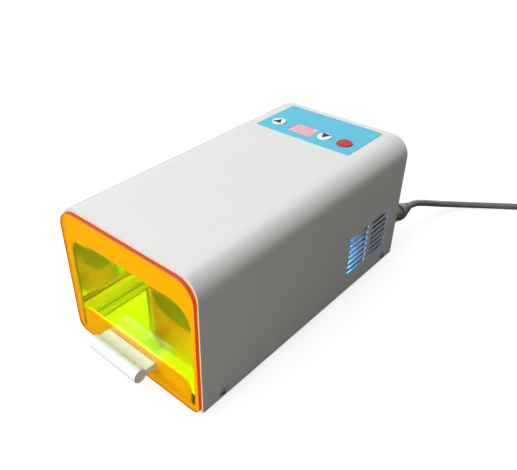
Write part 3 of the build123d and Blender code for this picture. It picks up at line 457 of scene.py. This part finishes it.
def tinted_acrylic(name, colour, edge, painted_edge_glow):
    """Clear tinted sheet: see-through across its faces; its edges are opaque deep red with a
    painted glow standing in for light carried along the sheet.
    """
    made, tree, shader, output = new_material(name)
    set_inputs(shader, {
        "Base Color": (*colour, 1),
        "Transmission Weight": 1.0,
        "IOR": ACRYLIC_IOR,
        "Roughness": 0.0,
    })
    clear = add_node(tree, "BsdfTransparent", {"Color": (*[math.sqrt(c) for c in colour], 1)})
    # the rim's emission is a painted glow along the sheet's edges, not a lamp
    rim = add_node(tree, "BsdfPrincipled", {
        "Base Color": (*edge, 1),
        "Roughness": RIM_ROUGH,
        "Specular IOR Level": RIM_SPECULAR,
        "Emission Color": (*painted_edge_glow, 1),
        "Emission Strength": 1.0,
    })
    shadow = add_node(tree, "LightPath").outputs["Is Shadow Ray"]
    faces = mix_shaders(tree, shadow, shader.outputs["BSDF"], clear.outputs["BSDF"])
    is_edge = maths(tree, "LESS_THAN", facing(tree, "Y"), FACE_ON)
    whole = mix_shaders(tree, is_edge, faces, rim.outputs["BSDF"])
    tree.links.new(whole, output.inputs["Surface"])
    return made


def glowing(name, colour, strength, base=(0.8, 0.8, 0.8), rough=0.3, scale=60):
    """A lit surface whose light varies a little across it."""
    made, tree, shader, _ = new_material(name)
    set_inputs(shader, {
        "Base Color": (*base, 1),
        "Roughness": rough,
        "Emission Strength": strength,
    })
    patches = spread(tree, noise(tree, scale), 0, 1)
    dim, bright = [c * (1 - UNEVEN) for c in colour], [c * (1 + UNEVEN) for c in colour]
    tree.links.new(mix_colours(tree, patches, dim, bright), shader.inputs["Emission Color"])
    return made


def make_finishes():
    """Every finish, by its name."""
    made = {name: surface(name, **settings) for name, settings in FINISHES.items()}
    made |= {name: glowing(name, **settings) for name, settings in LIT_FINISHES.items()}
    made |= {name: tinted_acrylic(name, **settings) for name, settings in ACRYLICS.items()}
    leave_walls_satin(made["polished_tray"])
    made["polished_liner"] = bowed_mirror()
    return made


def dress_nodes(finishes):
    for name, nodes in WEARERS.items():
        for piece in [NODES[node] for node in nodes]:
            if not piece.material_slots:
                piece.data.materials.append(finishes[name])
            for slot in piece.material_slots:
                slot.material = finishes[name]


# ---------------------------------------------------------------- marks on the panel


def prism(name, outlines, low, high, made, body):
    """A thin raised mark from outlines in the XY plane."""
    corners, faces = [], []
    for outline in outlines:
        first, count = len(corners), len(outline)
        corners += [(x, y, z) for z in (low, high) for x, y in outline]
        faces.append([first + i for i in reversed(range(count))])
        faces.append([first + count + i for i in range(count)])
        for i in range(count):
            j = (i + 1) % count
            faces.append([first + i, first + j, first + count + j, first + count + i])
    mesh = bpy.data.meshes.new(name)
    mesh.from_pydata(corners, [], faces)
    mesh.validate()
    mesh.materials.append(made)
    piece = bpy.data.objects.new(name, mesh)
    bpy.context.scene.collection.objects.link(piece)
    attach(piece, body)


def make_arrows(ink):
    for name, (width, height) in ARROWS.items():
        low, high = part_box(name)
        x, y = (low[0] + high[0]) / 2, (low[1] + high[1]) / 2
        half, rise = width / 2 * MM, height / 2 * MM
        outline = [(x - half, y - rise), (x + half, y - rise), (x, y + rise)]
        if height < 0:
            outline.reverse()
        root, top = high[2] - MARK_ROOT * MM, high[2] + ARROW_RISE * MM
        prism(f"{name}_mark", [outline], root, top, ink, name)


def bar_outline(start, end):
    """A bar's six corners, pointed at both ends."""
    along = (end - start).normalized()
    across = Vector((-along.y, along.x)) * BAR / 2
    first, last = start + along * BAR_GAP, end - along * BAR_GAP
    slant = along * BAR / 2
    return [first, first + slant - across, last - slant - across,
            last, last - slant + across, first + slant + across]


def make_digits(lit):
    """Two lit seven-bar digits in the display."""
    low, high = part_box("display")
    middle = (Vector(low) + Vector(high)) / 2
    outlines = []
    for offset, lit_bars in DIGITS:
        for name in lit_bars:
            ends = [Vector(((x - 0.5) * DIGIT_WIDTH, (y - 1) * DIGIT_HEIGHT / 2))
                    for x, y in SEGMENTS[name]]
            outlines.append([
                (middle.x + (offset + p.x + p.y * DIGIT_LEAN) * MM, middle.y + p.y * MM)
                for p in bar_outline(*ends)
            ])
    root, top = high[2] - MARK_ROOT * MM, high[2] + DIGITS_RISE * MM
    prism("display_digits", outlines, root, top, lit, "housing")


# ---------------------------------------------------------------- stage and light


def is_ray(tree, *kinds):
    """1 for rays of these kinds, and 0 for others."""
    path = add_node(tree, "LightPath")
    shown = path.outputs[f"Is {kinds[0]} Ray"]
    for kind in kinds[1:]:
        shown = maths(tree, "MAXIMUM", shown, path.outputs[f"Is {kind} Ray"])
    return shown


def make_floor():
    """A floor that the camera and glass see as white, and mirrors as dark."""
    bpy.ops.mesh.primitive_plane_add(size=FLOOR_SIZE)
    floor = bpy.context.object
    floor.name = "floor"
    made, tree, shader, output = new_material("pale_floor")
    set_inputs(shader, {"Base Color": (*[FLOOR_GREY] * 3, 1), "Roughness": 0.9})
    seen = add_node(tree, "BsdfPrincipled", {
        "Base Color": (*[FLOOR_SEEN] * 3, 1),
        "Roughness": 1.0,
        "Specular IOR Level": 0.0,
        "Emission Color": (*WHITE, 1),
        "Emission Strength": FLOOR_GLOW,
    })
    mirrored = add_node(tree, "BsdfDiffuse", {"Color": (*[FLOOR_MIRRORED] * 3, 1)})
    glossy, shown = is_ray(tree, "Glossy"), is_ray(tree, "Camera", "Transmission")
    unseen = mix_shaders(tree, glossy, shader.outputs["BSDF"], mirrored.outputs["BSDF"])
    whole = mix_shaders(tree, shown, unseen, seen.outputs["BSDF"])
    tree.links.new(whole, output.inputs["Surface"])
    floor.data.materials.append(made)


def make_world():
    """A world that is white to look at, and lights the object softly."""
    world = bpy.data.worlds.new("studio")
    bpy.context.scene.world = world
    world.use_nodes = True
    tree = world.node_tree
    tree.nodes.clear()
    soft = add_node(tree, "Background", {"Color": (*WORLD_COLOUR, 1), "Strength": WORLD_LIGHT})
    white = add_node(tree, "Background", {"Color": (*WHITE, 1), "Strength": 1.0})
    output = add_node(tree, "OutputWorld")
    shown = is_ray(tree, "Camera", "Glossy", "Transmission")
    mixed = mix_shaders(tree, shown, soft.outputs["Background"], white.outputs["Background"])
    tree.links.new(mixed, output.inputs["Surface"])


def area_light(name, place, target, size, watts, colour):
    data = bpy.data.lights.new(name, "AREA")
    data.shape = "RECTANGLE"
    data.size, data.size_y = size
    data.energy = watts
    data.color = colour
    light = bpy.data.objects.new(name, data)
    turned = (Vector(target) - Vector(place)).to_track_quat("-Z", "Y").to_matrix().to_4x4()
    light.matrix_world = Matrix.Translation(place) @ turned
    bpy.context.scene.collection.objects.link(light)
    return light


def make_lights():
    made = {name: area_light(name, *settings) for name, settings in LIGHTS.items()}
    chamber = made["chamber"]
    chamber.visible_camera = chamber.visible_glossy = chamber.visible_transmission = False


def main():
    bpy.context.scene.view_settings.view_transform = "Standard"
    make_camera()
    lead = make_lead()
    finishes = make_finishes()
    dress_nodes(finishes)
    lead.data.materials.append(finishes["grey_pvc"])
    make_arrows(finishes["dark_ink"])
    make_digits(finishes["lit_bars"])
    make_floor()
    make_world()
    make_lights()


main()
